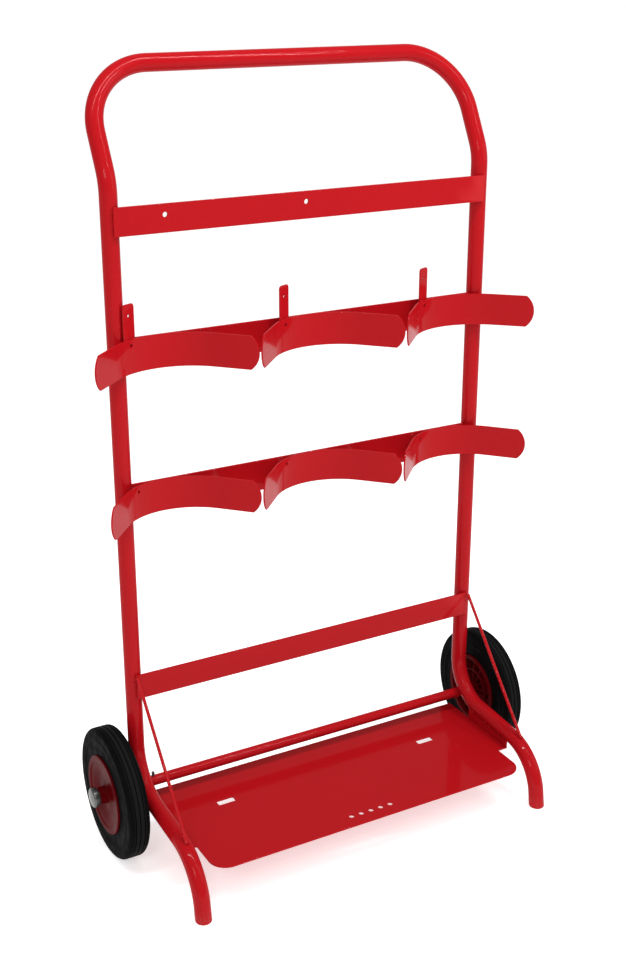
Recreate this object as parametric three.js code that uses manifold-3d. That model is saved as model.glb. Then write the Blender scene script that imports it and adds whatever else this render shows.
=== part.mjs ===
// Torch cart for three gas cylinders: one bent tube frame on two solid-tyred wheels.
// Units are millimetres. +Z is up, the deck and feet point to -Y, +X is the cart's width.
// The sub-parts are drawn with the uprights' centre-lines at y = 0, and the whole cart is then
// moved along Y, so that the origin is on the floor under the middle of its bounding box.

import * as THREE from 'three';
import { mergeVertices } from 'three/addons/utils/BufferGeometryUtils.js';
import Module from 'manifold-3d';

const wasm = await Module();
wasm.setup();

// Clearance left wherever two separate pieces meet.
const GAP = 0.3;

// Frame tube: one continuous 1 1/4 inch tube, 30 inches between the uprights' centre-lines.
const UPRIGHT_SPACING = 762;
const TUBE_RADIUS = 15.9;
const TUBE_WALL = 2;
const TUBE_SIDES = 16;
const TUBE_BORE_SIDES = 8;
const HALF_SPACING = UPRIGHT_SPACING / 2;

// Legs: the upright turns forward, runs nearly level and turns down into a splayed foot.
const LEG_BEND_RADIUS = 90;
const LEG_BEND_START_Z = 215;
const LEG_FORWARD_ANGLE = 85.7;
const LEG_RUN = 115;
const FOOT_BEND_RADIUS = 102;
const FOOT_SPLAY_ANGLE = 9.1;
const FOOT_CAP_THICKNESS = 3;
const FOOT_SPIGOT_TOP_Z = 18;
const FOOT_SPIGOT_CLEARANCE = 2;

// Hoop handle: the uprights lean back at a kink and join over the top.
const KINK_Z = 1299;
const KINK_RADIUS = 94;
const HOOP_LEAN_ANGLE = 27.8;
const HOOP_LENGTH = 205.6;
const HOOP_CORNER_RADIUS = 118;

// Flat bars and the formed straps that hold the cylinders.
const FLAT_THICKNESS = 5;
const CROSSBAR_HEIGHT = 50;
const TOP_CROSSBAR_Z = 1233.5;
const LOWER_CROSSBAR_Z = 349.6;
const CROSSBAR_HOLE_RADIUS = 4.5;
const CROSSBAR_HOLE_RISE = 6;
const CROSSBAR_HOLE_X = [-287, -11];
const CRADLE_PITCH = 304.8;
const CRADLE_HEIGHT = 62;
const CRADLE_THICKNESS = 3;
const CRADLE_END_CROWN = 15.6;
const CRADLE_BAR_HEIGHT = 60;
const CRADLE_BAR_FRONT_Y = -4;
const UPPER_CRADLE_Z = 997.5;
const LOWER_CRADLE_Z = 725;
const CRADLE_HOLE_RADIUS = 3.2;
const CRADLE_HOLE_DROP = 11;
const CRADLE_HOLE_ALONG = 56;

// A wing of a cradle bends forward at one radius through an angle and ends in a straight stretch.
// Its length runs along the face that the cylinder touches, from the middle to the end's corners.
const INNER_WING = { radius: 123, angle: 47, length: 172 };
const UPPER_OUTER_WING = { radius: 135, angle: 43, length: 167 };
const LOWER_OUTER_WING = { radius: 115, angle: 48.5, length: 164 };

// Tabs for the cylinder chains, behind the left wing of each upper cradle.
const TAB_WIDTH = 27;
const TAB_THICKNESS = 3;
const TAB_BOTTOM_Z = 972;
const TAB_TOP_Z = 1091;
const TAB_CORNER_RADIUS = 6;
const TAB_HOLE_RADIUS = 2.5;
const TAB_HOLE_DROP = 21;

// Deck: a steel sheet with upturned side flanges under the legs and a narrower front tongue.
const DECK_TOP_Z = 91;
const DECK_THICKNESS = 3;
const DECK_REAR_Y = 14;
const DECK_STEP_Y = -200;
const DECK_FRONT_Y = -288;
const DECK_HALF_WIDTH = 372;
const TONGUE_HALF_WIDTH = 348;
const TONGUE_CORNER_RADIUS = 36;
const DECK_CORNER_RADIUS = 5;
const FLANGE_REAR_Y = -62;
const FLANGE_TOP_Z = 116;
const FLANGE_INSET = 0.5;
const STRAP_SLOT = { length: 36, width: 15, cornerRadius: 2.5, x: 234, y: -91 };
const DRAIN_HOLE = { radius: 5, pitch: 22, count: 5, y: -257 };

// Brace rods from the lower crossbar's ends to the fronts of the legs.
const ROD_RADIUS = 3.2;
const ROD_TOP_Z = 373;
const ROD_SLOPE_ANGLE = 39.7;
const ROD_LENGTH = 330;

// Axle and wheels.
const AXLE_Y = -10;
const WHEEL_RADIUS = 130;
const AXLE_RADIUS = 8;
const AXLE_HALF_LENGTH = 477;
const AXLE_TUBE_RADIUS = 10.5;
const AXLE_TUBE_BORE_RADIUS = 8.4;
const AXLE_TUBE_HALF_LENGTH = 400;
const LOCK_SCREW = { radius: 3, x: -353, height: 11, socketRadius: 1.5, socketDepth: 3 };
const WHEEL_X = 433.5;
const TYRE_HALF_WIDTH = 21.5;
const TYRE_SHOULDER_RADIUS = 9;
const TREAD_GROOVE = { offsets: [-9, 0, 9], halfWidth: 1.2, depth: 2.2 };
const RIM_RADIUS = 78;
const RIM_SEAT_RADIUS = 72;
const RIM_BORE_RADIUS = 68;
const RIM_HALF_WIDTH = 25.5;
const RIM_LIP = 3.5;
const RIM_EDGE_SET_BACK = 2;
const WEB_DISH = 6;
const WEB_FLAT_RADIUS = 29;
const WEB_ROUND_OFF = 4;
const RIB_INNER_INSET = 6;
const WEB_THICKNESS = 3;
const RIB_COUNT = 14;
const RIB_THICKNESS = 3;
const HUB_RADIUS = 17;
const BUSH_RADIUS = 10;
const HUB_INNER_END = -29.7;
const HUB_OUTER_END = 35;
const WASHER_RADIUS = 17;
const WASHER_THICKNESS = 2.5;
const CAP_RADIUS = 19;
const CAP_DEPTH = 11;
const CAP_WALL = 1.5;
const CAP_CROWN = 1.5;
const CAP_EDGE_RADIUS = 4;
const CAP_COLLAR_RADIUS = 11;

const ROUND_SIDES = 24;
const WHEEL_SIDES = 36;
const BEND_STEP_ANGLE = 12;
const X_AXIS = new THREE.Vector3(1, 0, 0);
const rad = THREE.MathUtils.degToRad;

// ---------------------------------------------------------------- solids and booleans

function toSolid(geometry) {
  const bare = geometry.clone();
  bare.deleteAttribute('normal');
  bare.deleteAttribute('uv');
  const merged = mergeVertices(bare, 1e-4);
  return new wasm.Manifold(new wasm.Mesh({
    numProp: 3,
    vertProperties: merged.attributes.position.array,
    triVerts: new Uint32Array(merged.index.array),
  }));
}

function toGeometry(solid) {
  const mesh = solid.getMesh();
  const geometry = new THREE.BufferGeometry();
  geometry.setAttribute('position', new THREE.BufferAttribute(mesh.vertProperties, 3));
  geometry.setIndex(new THREE.BufferAttribute(mesh.triVerts, 1));
  geometry.computeVertexNormals();
  return geometry;
}

function subtract(geometry, cutters) {
  const cut = cutters.reduce((solid, cutter) => solid.subtract(toSolid(cutter)), toSolid(geometry));
  return toGeometry(cut);
}

function intersect(geometry, limits) {
  const kept = limits.reduce((solid, limit) => solid.intersect(toSolid(limit)), toSolid(geometry));
  return toGeometry(kept);
}

function join(geometries) {
  return toGeometry(geometries.map(toSolid).reduce((whole, piece) => whole.add(piece)));
}

// ---------------------------------------------------------------- outlines and basic forms

function ringPoints(radius, sides) {
  return Array.from({ length: sides }, (_, i) => {
    const angle = (i / sides) * 2 * Math.PI;
    return new THREE.Vector2(radius * Math.cos(angle), radius * Math.sin(angle));
  });
}

function discShape(radius, sides) {
  return new THREE.Shape(ringPoints(radius, sides));
}

function ringShape(radius, bore, sides, boreSides = sides) {
  const shape = discShape(radius, sides);
  shape.holes.push(new THREE.Path(ringPoints(bore, boreSides)));
  return shape;
}

function plate(shape, thickness, curveSegments = 6) {
  return new THREE.ExtrudeGeometry(shape, { depth: thickness, bevelEnabled: false, curveSegments });
}

// A bar or tube of the given section along X, from one x to another.
function alongX(shape, fromX, toX) {
  return plate(shape, toX - fromX).rotateY(Math.PI / 2).translate(fromX, 0, 0);
}

function boxBetween(low, high) {
  const size = high.map((value, i) => value - low[i]);
  const centre = high.map((value, i) => (value + low[i]) / 2);
  return new THREE.BoxGeometry(...size).translate(...centre);
}

// A turned piece about X. Each profile point is [position along X, radius].
function turnedAboutX(profile, sides) {
  const points = profile.map(([x, r]) => new THREE.Vector2(r, x));
  return new THREE.LatheGeometry([...points, points[0]], sides).rotateZ(-Math.PI / 2);
}

// ---------------------------------------------------------------- the bent frame tube

// A tube centre-line made the way a bender makes it: straight feeds and bends of one radius.
// It keeps a station at each end of a straight and every few degrees round a bend.
class BentRun extends THREE.Curve {
  constructor(start, direction) {
    super();
    this.stations = [{ point: start.clone(), tangent: direction.clone().normalize() }];
  }

  get end() {
    return this.stations[this.stations.length - 1];
  }

  feed(length) {
    const { point, tangent } = this.end;
    const next = point.clone().addScaledVector(tangent, length);
    this.stations.push({ point: next, tangent: tangent.clone() });
    return this;
  }

  bend(radius, degrees, axis) {
    const { point, tangent } = this.end;
    const steps = Math.ceil(Math.abs(degrees) / BEND_STEP_ANGLE);
    const toCentre = axis.clone().cross(tangent).multiplyScalar(radius * Math.sign(degrees));
    const centre = point.clone().add(toCentre);
    for (let i = 1; i <= steps; i += 1) {
      const angle = rad((degrees * i) / steps);
      const arm = toCentre.clone().negate().applyAxisAngle(axis, angle);
      this.stations.push({
        point: centre.clone().add(arm),
        tangent: tangent.clone().applyAxisAngle(axis, angle),
      });
    }
    return this;
  }

  // Continues with this run's own mirror image across x = 0, travelled the other way.
  mirrorAcrossMiddle() {
    const flip = new THREE.Vector3(-1, 1, 1);
    const mirrored = this.stations.map(({ point, tangent }) => ({
      point: point.clone().multiply(flip),
      tangent: tangent.clone().multiply(flip).negate(),
    }));
    this.stations.push(...mirrored.reverse());
    return this;
  }

  stationAt(u) {
    return this.stations[Math.round(u * (this.stations.length - 1))];
  }

  getPoint(t) {
    return this.stationAt(t).point.clone();
  }

  getPointAt(u) {
    return this.getPoint(u);
  }

  getTangentAt(u) {
    return this.stationAt(u).tangent.clone();
  }

  sweep(shape) {
    return new THREE.ExtrudeGeometry(shape, { steps: this.stations.length - 1, extrudePath: this });
  }
}

const splay = rad(FOOT_SPLAY_ANGLE);
const footDirection = new THREE.Vector3(0, Math.sin(splay), Math.cos(splay));
const legTop = new THREE.Vector3(-HALF_SPACING, 0, LEG_BEND_START_Z);

// The left leg from the top of its bend down to below the floor.
function legRun() {
  const run = new BentRun(legTop, new THREE.Vector3(0, 0, -1));
  run.bend(LEG_BEND_RADIUS, -LEG_FORWARD_ANGLE, X_AXIS);
  run.feed(LEG_RUN);
  run.bend(FOOT_BEND_RADIUS, LEG_FORWARD_ANGLE - FOOT_SPLAY_ANGLE, X_AXIS);
  const toBelowFloor = (run.end.point.z + TUBE_RADIUS) / footDirection.z;
  return run.feed(toBelowFloor);
}

const footEnd = legRun().end.point;

// The point where the foot's centre-line meets the floor.
const footY = footEnd.y - (footEnd.z / footDirection.z) * footDirection.y;

// The whole centre-line, from under the left foot over the hoop to under the right foot.
function frameRun() {
  const leg = legRun().stations.reverse();
  const run = new BentRun(leg[0].point, footDirection);
  run.stations = leg.map(({ point, tangent }) => ({ point, tangent: tangent.negate() }));
  const kinkTangent = KINK_RADIUS * Math.tan(rad(HOOP_LEAN_ANGLE / 2));
  run.feed(KINK_Z - kinkTangent - LEG_BEND_START_Z);
  run.bend(KINK_RADIUS, -HOOP_LEAN_ANGLE, X_AXIS);
  run.feed(HOOP_LENGTH - kinkTangent - HOOP_CORNER_RADIUS);
  const hoopNormal = run.end.tangent.clone().cross(X_AXIS);
  run.bend(HOOP_CORNER_RADIUS, 90, hoopNormal);
  return run.mirrorAcrossMiddle();
}

function belowZ(z) {
  const far = 2000;
  return boxBetween([-far, -far, -far], [far, far, z]);
}

function mainFrameTube() {
  const bore = TUBE_RADIUS - TUBE_WALL;
  const tube = frameRun().sweep(ringShape(TUBE_RADIUS, bore, TUBE_SIDES, TUBE_BORE_SIDES));
  return subtract(tube, [belowZ(FOOT_CAP_THICKNESS + GAP)]);
}

// The left leg as a full bar with clearance round it, for trimming what is welded to the leg.
function legClearance() {
  return legRun().sweep(discShape(TUBE_RADIUS + GAP, TUBE_SIDES));
}

// The mirror image across x = 0, with each triangle turned over so that it still faces out.
function mirroredInX(geometry) {
  const mirrored = geometry.clone().scale(-1, 1, 1);
  const corners = mirrored.index.array;
  for (let i = 0; i < corners.length; i += 3) {
    [corners[i], corners[i + 1]] = [corners[i + 1], corners[i]];
  }
  return mirrored;
}

// A closed plug: a sole the width of the tube, with a spigot inside it.
function footCap(side) {
  const overrun = 20;
  const bar = (radius, low, high) => {
    const rod = plate(discShape(radius, TUBE_SIDES), high - low + 2 * overrun);
    rod.translate(0, 0, low - overrun).rotateX(-rad(FOOT_SPLAY_ANGLE)).translate(0, footY, 0);
    const reach = WHEEL_RADIUS;
    return intersect(rod, [boxBetween([-reach, footY - reach, low], [reach, footY + reach, high])]);
  };
  const sole = bar(TUBE_RADIUS, 0, FOOT_CAP_THICKNESS);
  const spigot = bar(TUBE_RADIUS - TUBE_WALL - FOOT_SPIGOT_CLEARANCE, 0, FOOT_SPIGOT_TOP_Z);
  return join([sole, spigot]).translate(side * HALF_SPACING, 0, 0);
}

// ---------------------------------------------------------------- bars, cradles and tabs

function crossbar(centreZ, holeXs) {
  const back = -TUBE_RADIUS - GAP;
  const front = back - FLAT_THICKNESS;
  const half = CROSSBAR_HEIGHT / 2;
  const bar = boxBetween([-HALF_SPACING, front, centreZ - half], [HALF_SPACING, back, centreZ + half]);
  const holes = holeXs.map((x) => {
    const drill = plate(discShape(CROSSBAR_HOLE_RADIUS, ROUND_SIDES / 2), FLAT_THICKNESS * 3);
    return drill.rotateX(Math.PI / 2).translate(x, back + FLAT_THICKNESS, centreZ + CROSSBAR_HOLE_RISE);
  });
  return subtract(bar, holes);
}

// The straight bar behind a row of cradles, butted between the uprights.
function cradleBar(centreZ) {
  const end = HALF_SPACING - TUBE_RADIUS - GAP;
  const half = CRADLE_BAR_HEIGHT / 2;
  const back = CRADLE_BAR_FRONT_Y + FLAT_THICKNESS;
  return boxBetween([-end, CRADLE_BAR_FRONT_Y, centreZ - half], [end, back, centreZ + half]);
}

const CRADLE_BACK_Y = CRADLE_BAR_FRONT_Y - GAP;
const CRADLE_FRONT_Y = CRADLE_BACK_Y - CRADLE_THICKNESS;

// A point of a right-hand wing, in plan from the middle of the cradle's front: a distance along the
// face that the cylinder touches, and an offset behind that face.
function onWing(wing, distance, offset) {
  const turned = Math.min(distance / wing.radius, rad(wing.angle));
  const straight = distance - turned * wing.radius;
  const r = wing.radius + offset;
  return new THREE.Vector2(
    r * Math.sin(turned) + straight * Math.cos(turned),
    r * Math.cos(turned) - wing.radius - straight * Math.sin(turned),
  );
}

// Plan of one cradle, with its wings longer than they end up.
function cradlePlan(left, right) {
  const overrun = CRADLE_END_CROWN + 4;
  const bendSteps = 7;
  const face = (wing, side, offset) => {
    const bendLength = wing.radius * rad(wing.angle);
    const distances = Array.from({ length: bendSteps + 1 }, (_, i) => (bendLength * i) / bendSteps);
    return [...distances, wing.length + overrun].map((distance) => {
      const { x, y } = onWing(wing, distance, offset);
      return new THREE.Vector2(side * x, CRADLE_FRONT_Y + y);
    });
  };
  const wholeFace = (offset) => [...face(left, -1, offset).reverse(), ...face(right, 1, offset).slice(1)];
  return new THREE.Shape([...wholeFace(0), ...wholeFace(CRADLE_THICKNESS).reverse()]);
}

// The limit that gives a wing its convex end: everything short of an arc across the strap.
function wingEndLimit(wing, side, centreZ) {
  const half = CRADLE_HEIGHT / 2;
  const crown = CRADLE_END_CROWN;
  const arcRadius = (half * half + crown * crown) / (2 * crown);
  const arcHalfAngle = Math.asin(half / arcRadius);
  const far = 600;
  const outline = new THREE.Shape();
  outline.moveTo(-far, -half);
  outline.lineTo(0, -half);
  outline.absarc(crown - arcRadius, 0, arcRadius, -arcHalfAngle, arcHalfAngle, false);
  outline.lineTo(-far, half);
  const endAngle = rad(wing.angle);
  const block = plate(outline, far).translate(0, 0, -far / 2);
  // The outline's x runs along the strap towards its end and its y is height.
  const along = new THREE.Vector3(side * Math.cos(endAngle), -Math.sin(endAngle), 0);
  const up = new THREE.Vector3(0, 0, 1);
  const { x, y } = onWing(wing, wing.length, 0);
  const corner = new THREE.Vector3(side * x, CRADLE_FRONT_Y + y, centreZ);
  const placing = new THREE.Matrix4().makeBasis(along, up, along.clone().cross(up)).setPosition(corner);
  return block.applyMatrix4(placing);
}

// The angle round a left wing at which its chain hole and its tab stand.
function chainAngle(wing) {
  return CRADLE_HOLE_ALONG / wing.radius;
}

function cradle(centreX, centreZ, left, right) {
  const half = CRADLE_HEIGHT / 2;
  const strap = plate(cradlePlan(left, right), CRADLE_HEIGHT).translate(0, 0, centreZ - half);
  const ends = [wingEndLimit(left, -1, centreZ), wingEndLimit(right, 1, centreZ)];
  const drill = plate(discShape(CRADLE_HOLE_RADIUS, ROUND_SIDES / 2), CRADLE_THICKNESS * 5);
  drill.translate(0, 0, -left.radius - CRADLE_THICKNESS * 3).rotateX(Math.PI / 2);
  drill.rotateZ(chainAngle(left));
  drill.translate(0, CRADLE_FRONT_Y - left.radius, centreZ + half - CRADLE_HOLE_DROP);
  return subtract(intersect(strap, ends), [drill]).translate(centreX, 0, 0);
}

function chainTab(centreX, wing) {
  const half = TAB_WIDTH / 2;
  const r = TAB_CORNER_RADIUS;
  const outline = new THREE.Shape();
  outline.moveTo(-half, TAB_BOTTOM_Z);
  outline.lineTo(half, TAB_BOTTOM_Z);
  outline.absarc(half - r, TAB_TOP_Z - r, r, 0, Math.PI / 2, false);
  outline.absarc(-half + r, TAB_TOP_Z - r, r, Math.PI / 2, Math.PI, false);
  const hole = new THREE.Path();
  hole.absarc(0, TAB_TOP_Z - TAB_HOLE_DROP, TAB_HOLE_RADIUS, 0, 2 * Math.PI, false);
  outline.holes.push(hole);
  const back = wing.radius + CRADLE_THICKNESS + GAP + TAB_THICKNESS;
  const tab = plate(outline, TAB_THICKNESS).rotateX(Math.PI / 2).translate(0, back, 0);
  return tab.rotateZ(chainAngle(wing)).translate(centreX, CRADLE_FRONT_Y - wing.radius, 0);
}

// ---------------------------------------------------------------- deck and brace rods

function roundedRectPath(cx, cy, length, width, radius) {
  const path = new THREE.Path();
  const dx = length / 2 - radius;
  const dy = width / 2 - radius;
  const quarter = Math.PI / 2;
  path.absarc(cx + dx, cy + dy, radius, 0, quarter, false);
  path.absarc(cx - dx, cy + dy, radius, quarter, 2 * quarter, false);
  path.absarc(cx - dx, cy - dy, radius, 2 * quarter, 3 * quarter, false);
  path.absarc(cx + dx, cy - dy, radius, 3 * quarter, 4 * quarter, false);
  return path;
}

function deckOutline() {
  const quarter = Math.PI / 2;
  const rear = DECK_CORNER_RADIUS;
  const front = TONGUE_CORNER_RADIUS;
  const shape = new THREE.Shape();
  shape.moveTo(DECK_HALF_WIDTH, DECK_STEP_Y);
  shape.lineTo(DECK_HALF_WIDTH, DECK_REAR_Y - rear);
  shape.absarc(DECK_HALF_WIDTH - rear, DECK_REAR_Y - rear, rear, 0, quarter, false);
  shape.absarc(-DECK_HALF_WIDTH + rear, DECK_REAR_Y - rear, rear, quarter, 2 * quarter, false);
  shape.lineTo(-DECK_HALF_WIDTH, DECK_STEP_Y);
  shape.lineTo(-TONGUE_HALF_WIDTH, DECK_STEP_Y);
  shape.absarc(-TONGUE_HALF_WIDTH + front, DECK_FRONT_Y + front, front, 2 * quarter, 3 * quarter, false);
  shape.absarc(TONGUE_HALF_WIDTH - front, DECK_FRONT_Y + front, front, 3 * quarter, 4 * quarter, false);
  shape.lineTo(TONGUE_HALF_WIDTH, DECK_STEP_Y);
  for (const side of [-1, 1]) {
    const { length, width, cornerRadius, x, y } = STRAP_SLOT;
    shape.holes.push(roundedRectPath(side * x, y, length, width, cornerRadius));
  }
  for (let i = 0; i < DRAIN_HOLE.count; i += 1) {
    const x = (i - (DRAIN_HOLE.count - 1) / 2) * DRAIN_HOLE.pitch;
    const hole = new THREE.Path();
    hole.absarc(x, DRAIN_HOLE.y, DRAIN_HOLE.radius, 0, 2 * Math.PI, false);
    shape.holes.push(hole);
  }
  return shape;
}

// The flange stands on the sheet's edge and is trimmed to the underside of the leg.
function deckFlange() {
  const foot = DECK_TOP_Z - DECK_THICKNESS / 2;
  const outer = -DECK_HALF_WIDTH + FLANGE_INSET;
  const low = [outer, DECK_STEP_Y + FLANGE_INSET, foot];
  const high = [outer + DECK_THICKNESS, FLANGE_REAR_Y, FLANGE_TOP_Z];
  return subtract(boxBetween(low, high), [legClearance()]);
}

function basePlate() {
  const sheet = plate(deckOutline(), DECK_THICKNESS).translate(0, 0, DECK_TOP_Z - DECK_THICKNESS);
  const flange = deckFlange();
  return join([sheet, flange, mirroredInX(flange)]);
}

// The left rod, cut at its lower end to sit on the leg.
function braceRod() {
  const slope = rad(ROD_SLOPE_ANGLE);
  const faceY = -TUBE_RADIUS - GAP - FLAT_THICKNESS - GAP;
  const rod = plate(discShape(ROD_RADIUS, ROUND_SIDES / 2), ROD_LENGTH).translate(0, 0, -ROD_LENGTH);
  rod.rotateX(-slope).translate(-HALF_SPACING, faceY - ROD_RADIUS * Math.cos(slope), ROD_TOP_Z);
  const pieces = toSolid(subtract(rod, [legClearance()])).decompose();
  return toGeometry(pieces.reduce((a, b) => (a.boundingBox().max[2] > b.boundingBox().max[2] ? a : b)));
}

// ---------------------------------------------------------------- axle and wheels

function axleTube() {
  const shape = ringShape(AXLE_TUBE_RADIUS, AXLE_TUBE_BORE_RADIUS, ROUND_SIDES);
  const tube = alongX(shape, -AXLE_TUBE_HALF_LENGTH, AXLE_TUBE_HALF_LENGTH);
  const drill = plate(discShape(LOCK_SCREW.radius + GAP, ROUND_SIDES / 2), 2 * AXLE_TUBE_RADIUS);
  return subtract(tube, [drill.translate(LOCK_SCREW.x, 0, 0)]);
}

function axle() {
  const chamfer = 1.5;
  const x = AXLE_HALF_LENGTH;
  const profile = [[-x, 0], [-x, AXLE_RADIUS - chamfer], [-x + chamfer, AXLE_RADIUS],
    [x - chamfer, AXLE_RADIUS], [x, AXLE_RADIUS - chamfer], [x, 0]];
  return turnedAboutX(profile, ROUND_SIDES);
}

// A set screw through the axle tube's wall, whose point bears on the axle.
function lockScrew() {
  const { radius, height, socketRadius, socketDepth } = LOCK_SCREW;
  const outline = [[0, 0], [radius, 0], [radius, height], [socketRadius, height],
    [socketRadius, height - socketDepth], [0, height - socketDepth]];
  const points = outline.map(([r, z]) => new THREE.Vector2(r, z));
  return new THREE.LatheGeometry(points, ROUND_SIDES / 2).rotateX(Math.PI / 2);
}

// Tyre section: flat tread with grooves, round shoulders and straight beads.
function tyre() {
  const top = WHEEL_RADIUS;
  const half = TYRE_HALF_WIDTH;
  const shoulder = TYRE_SHOULDER_RADIUS;
  const bead = RIM_SEAT_RADIUS + GAP;
  const arcSteps = 3;
  const arc = (side) => Array.from({ length: arcSteps + 1 }, (_, i) => {
    const angle = (i / arcSteps) * (Math.PI / 2);
    return [
      side * (half - shoulder + shoulder * Math.sin(angle)),
      top - shoulder + shoulder * Math.cos(angle),
    ];
  });
  const { offsets, halfWidth, depth } = TREAD_GROOVE;
  const grooves = offsets.flatMap((x) => [[x - halfWidth, top], [x, top - depth], [x + halfWidth, top]]);
  const profile = [[-half, bead], ...arc(-1).reverse(), ...grooves, ...arc(1), [half, bead]];
  return turnedAboutX(profile, WHEEL_SIDES);
}

// Wheel centre: rim, smooth dished outer web, radial ribs behind it and the hub barrel.
// Positive x is the outer side. One closed section turned about the axle, plus the ribs.
function wheelCentre() {
  const outer = RIM_HALF_WIDTH;
  const lipInside = outer - RIM_LIP;
  const webRim = outer - RIM_EDGE_SET_BACK;
  const webHub = webRim - WEB_DISH;
  const seat = RIM_SEAT_RADIUS;
  const bore = BUSH_RADIUS + GAP;
  const profile = [
    [-outer, RIM_BORE_RADIUS], [-outer, RIM_RADIUS], [-lipInside, RIM_RADIUS], [-lipInside, seat],
    [lipInside, seat], [lipInside, RIM_RADIUS], [outer, RIM_RADIUS], [outer, RIM_BORE_RADIUS],
    [webRim, RIM_BORE_RADIUS - WEB_ROUND_OFF], [webHub, WEB_FLAT_RADIUS], [webHub, HUB_RADIUS],
    [HUB_OUTER_END, HUB_RADIUS], [HUB_OUTER_END, bore], [HUB_INNER_END, bore], [HUB_INNER_END, HUB_RADIUS],
    [webHub - WEB_THICKNESS, HUB_RADIUS], [webHub - WEB_THICKNESS, WEB_FLAT_RADIUS],
    [webRim - WEB_THICKNESS, RIM_BORE_RADIUS],
  ];
  const body = turnedAboutX(profile, WHEEL_SIDES);
  const half = RIB_THICKNESS / 2;
  const bite = 1;
  const ribLow = [RIB_INNER_INSET - outer, -half, HUB_RADIUS - bite];
  const ribHigh = [webHub - bite, half, RIM_BORE_RADIUS + bite];
  const ribs = Array.from({ length: RIB_COUNT }, (_, i) => (
    boxBetween(ribLow, ribHigh).rotateX((i / RIB_COUNT) * 2 * Math.PI)
  ));
  return join([body, ...ribs]);
}

function axleCap() {
  const wall = CAP_WALL;
  const edge = CAP_EDGE_RADIUS;
  const grip = AXLE_RADIUS + GAP;
  const corner = (radius, inset) => [0, 45, 90].map((deg) => [
    CAP_DEPTH - inset - radius * (1 - Math.sin(rad(deg))),
    CAP_RADIUS - inset - radius * (1 - Math.cos(rad(deg))),
  ]);
  const profile = [
    [0, CAP_RADIUS], ...corner(edge, 0), [CAP_DEPTH + CAP_CROWN, 0],
    [CAP_DEPTH + CAP_CROWN - wall, 0], [CAP_DEPTH - wall, CAP_COLLAR_RADIUS],
    ...corner(edge - wall, wall).reverse(), [0, CAP_RADIUS - wall],
  ];
  const shell = turnedAboutX(profile, ROUND_SIDES);
  const collar = turnedAboutX([[0, grip], [0, CAP_COLLAR_RADIUS], [CAP_DEPTH, CAP_COLLAR_RADIUS],
    [CAP_DEPTH, grip]], ROUND_SIDES);
  return join([shell, collar]);
}

// ---------------------------------------------------------------- finishes and assembly

const FINISHES = {
  redEnamel: { color: 0xb71c1f, roughness: 0.3, metalness: 0 },
  darkRedPlastic: { color: 0x7d1016, roughness: 0.45, metalness: 0 },
  blackRubber: { color: 0x151515, roughness: 0.8, metalness: 0 },
  zincSteel: { color: 0xa9abad, roughness: 0.35, metalness: 1 },
  blackSteel: { color: 0x2a2a2c, roughness: 0.5, metalness: 1 },
  nylon: { color: 0xd8d4c8, roughness: 0.5, metalness: 0 },
};

function part(name, geometry, finish) {
  const mesh = new THREE.Mesh(geometry, new THREE.MeshStandardMaterial(FINISHES[finish]));
  mesh.name = name;
  return mesh;
}

function wheelParts(label, side) {
  const wheel = new THREE.Group();
  const bore = AXLE_RADIUS + GAP;
  const washer = () => alongX(ringShape(WASHER_RADIUS, bore, ROUND_SIDES), 0, WASHER_THICKNESS);
  const bush = alongX(ringShape(BUSH_RADIUS, bore, ROUND_SIDES), HUB_INNER_END, HUB_OUTER_END);
  const innerWasher = part(`${label}_inner_washer`, washer(), 'zincSteel');
  innerWasher.position.x = HUB_INNER_END - GAP - WASHER_THICKNESS;
  const outerWasher = part(`${label}_outer_washer`, washer(), 'zincSteel');
  outerWasher.position.x = HUB_OUTER_END + GAP;
  const cap = part(`${label}_axle_cap`, axleCap(), 'zincSteel');
  cap.position.x = HUB_OUTER_END + WASHER_THICKNESS + 2 * GAP;
  wheel.add(
    part(`${label}_tyre`, tyre(), 'blackRubber'),
    part(`${label}_wheel_centre`, wheelCentre(), 'darkRedPlastic'),
    part(`${label}_hub_bush`, bush, 'nylon'),
    innerWasher,
    outerWasher,
    cap,
  );
  wheel.rotation.z = side > 0 ? 0 : Math.PI;
  wheel.position.set(side * WHEEL_X, AXLE_Y, WHEEL_RADIUS);
  return wheel;
}

function axleParts() {
  const group = new THREE.Group();
  const screw = part('axle_lock_screw', lockScrew(), 'blackSteel');
  screw.position.set(LOCK_SCREW.x, 0, AXLE_RADIUS + GAP);
  group.add(part('axle_tube', axleTube(), 'redEnamel'), part('axle', axle(), 'zincSteel'), screw);
  group.position.set(0, AXLE_Y, WHEEL_RADIUS);
  return group;
}

function cradleParts() {
  const group = new THREE.Group();
  const rows = [
    { row: 'upper', z: UPPER_CRADLE_Z, outerWing: UPPER_OUTER_WING },
    { row: 'lower', z: LOWER_CRADLE_Z, outerWing: LOWER_OUTER_WING },
  ];
  const places = [
    { place: 'left', index: -1 },
    { place: 'centre', index: 0 },
    { place: 'right', index: 1 },
  ];
  for (const { row, z, outerWing } of rows) {
    group.add(part(`${row}_cradle_bar`, cradleBar(z), 'redEnamel'));
    for (const { place, index } of places) {
      const x = index * CRADLE_PITCH;
      const left = index < 0 ? outerWing : INNER_WING;
      const right = index > 0 ? outerWing : INNER_WING;
      group.add(part(`${row}_cradle_${place}`, cradle(x, z, left, right), 'redEnamel'));
      if (row === 'upper') {
        group.add(part(`chain_tab_${place}`, chainTab(x, left), 'redEnamel'));
      }
    }
  }
  return group;
}

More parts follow.
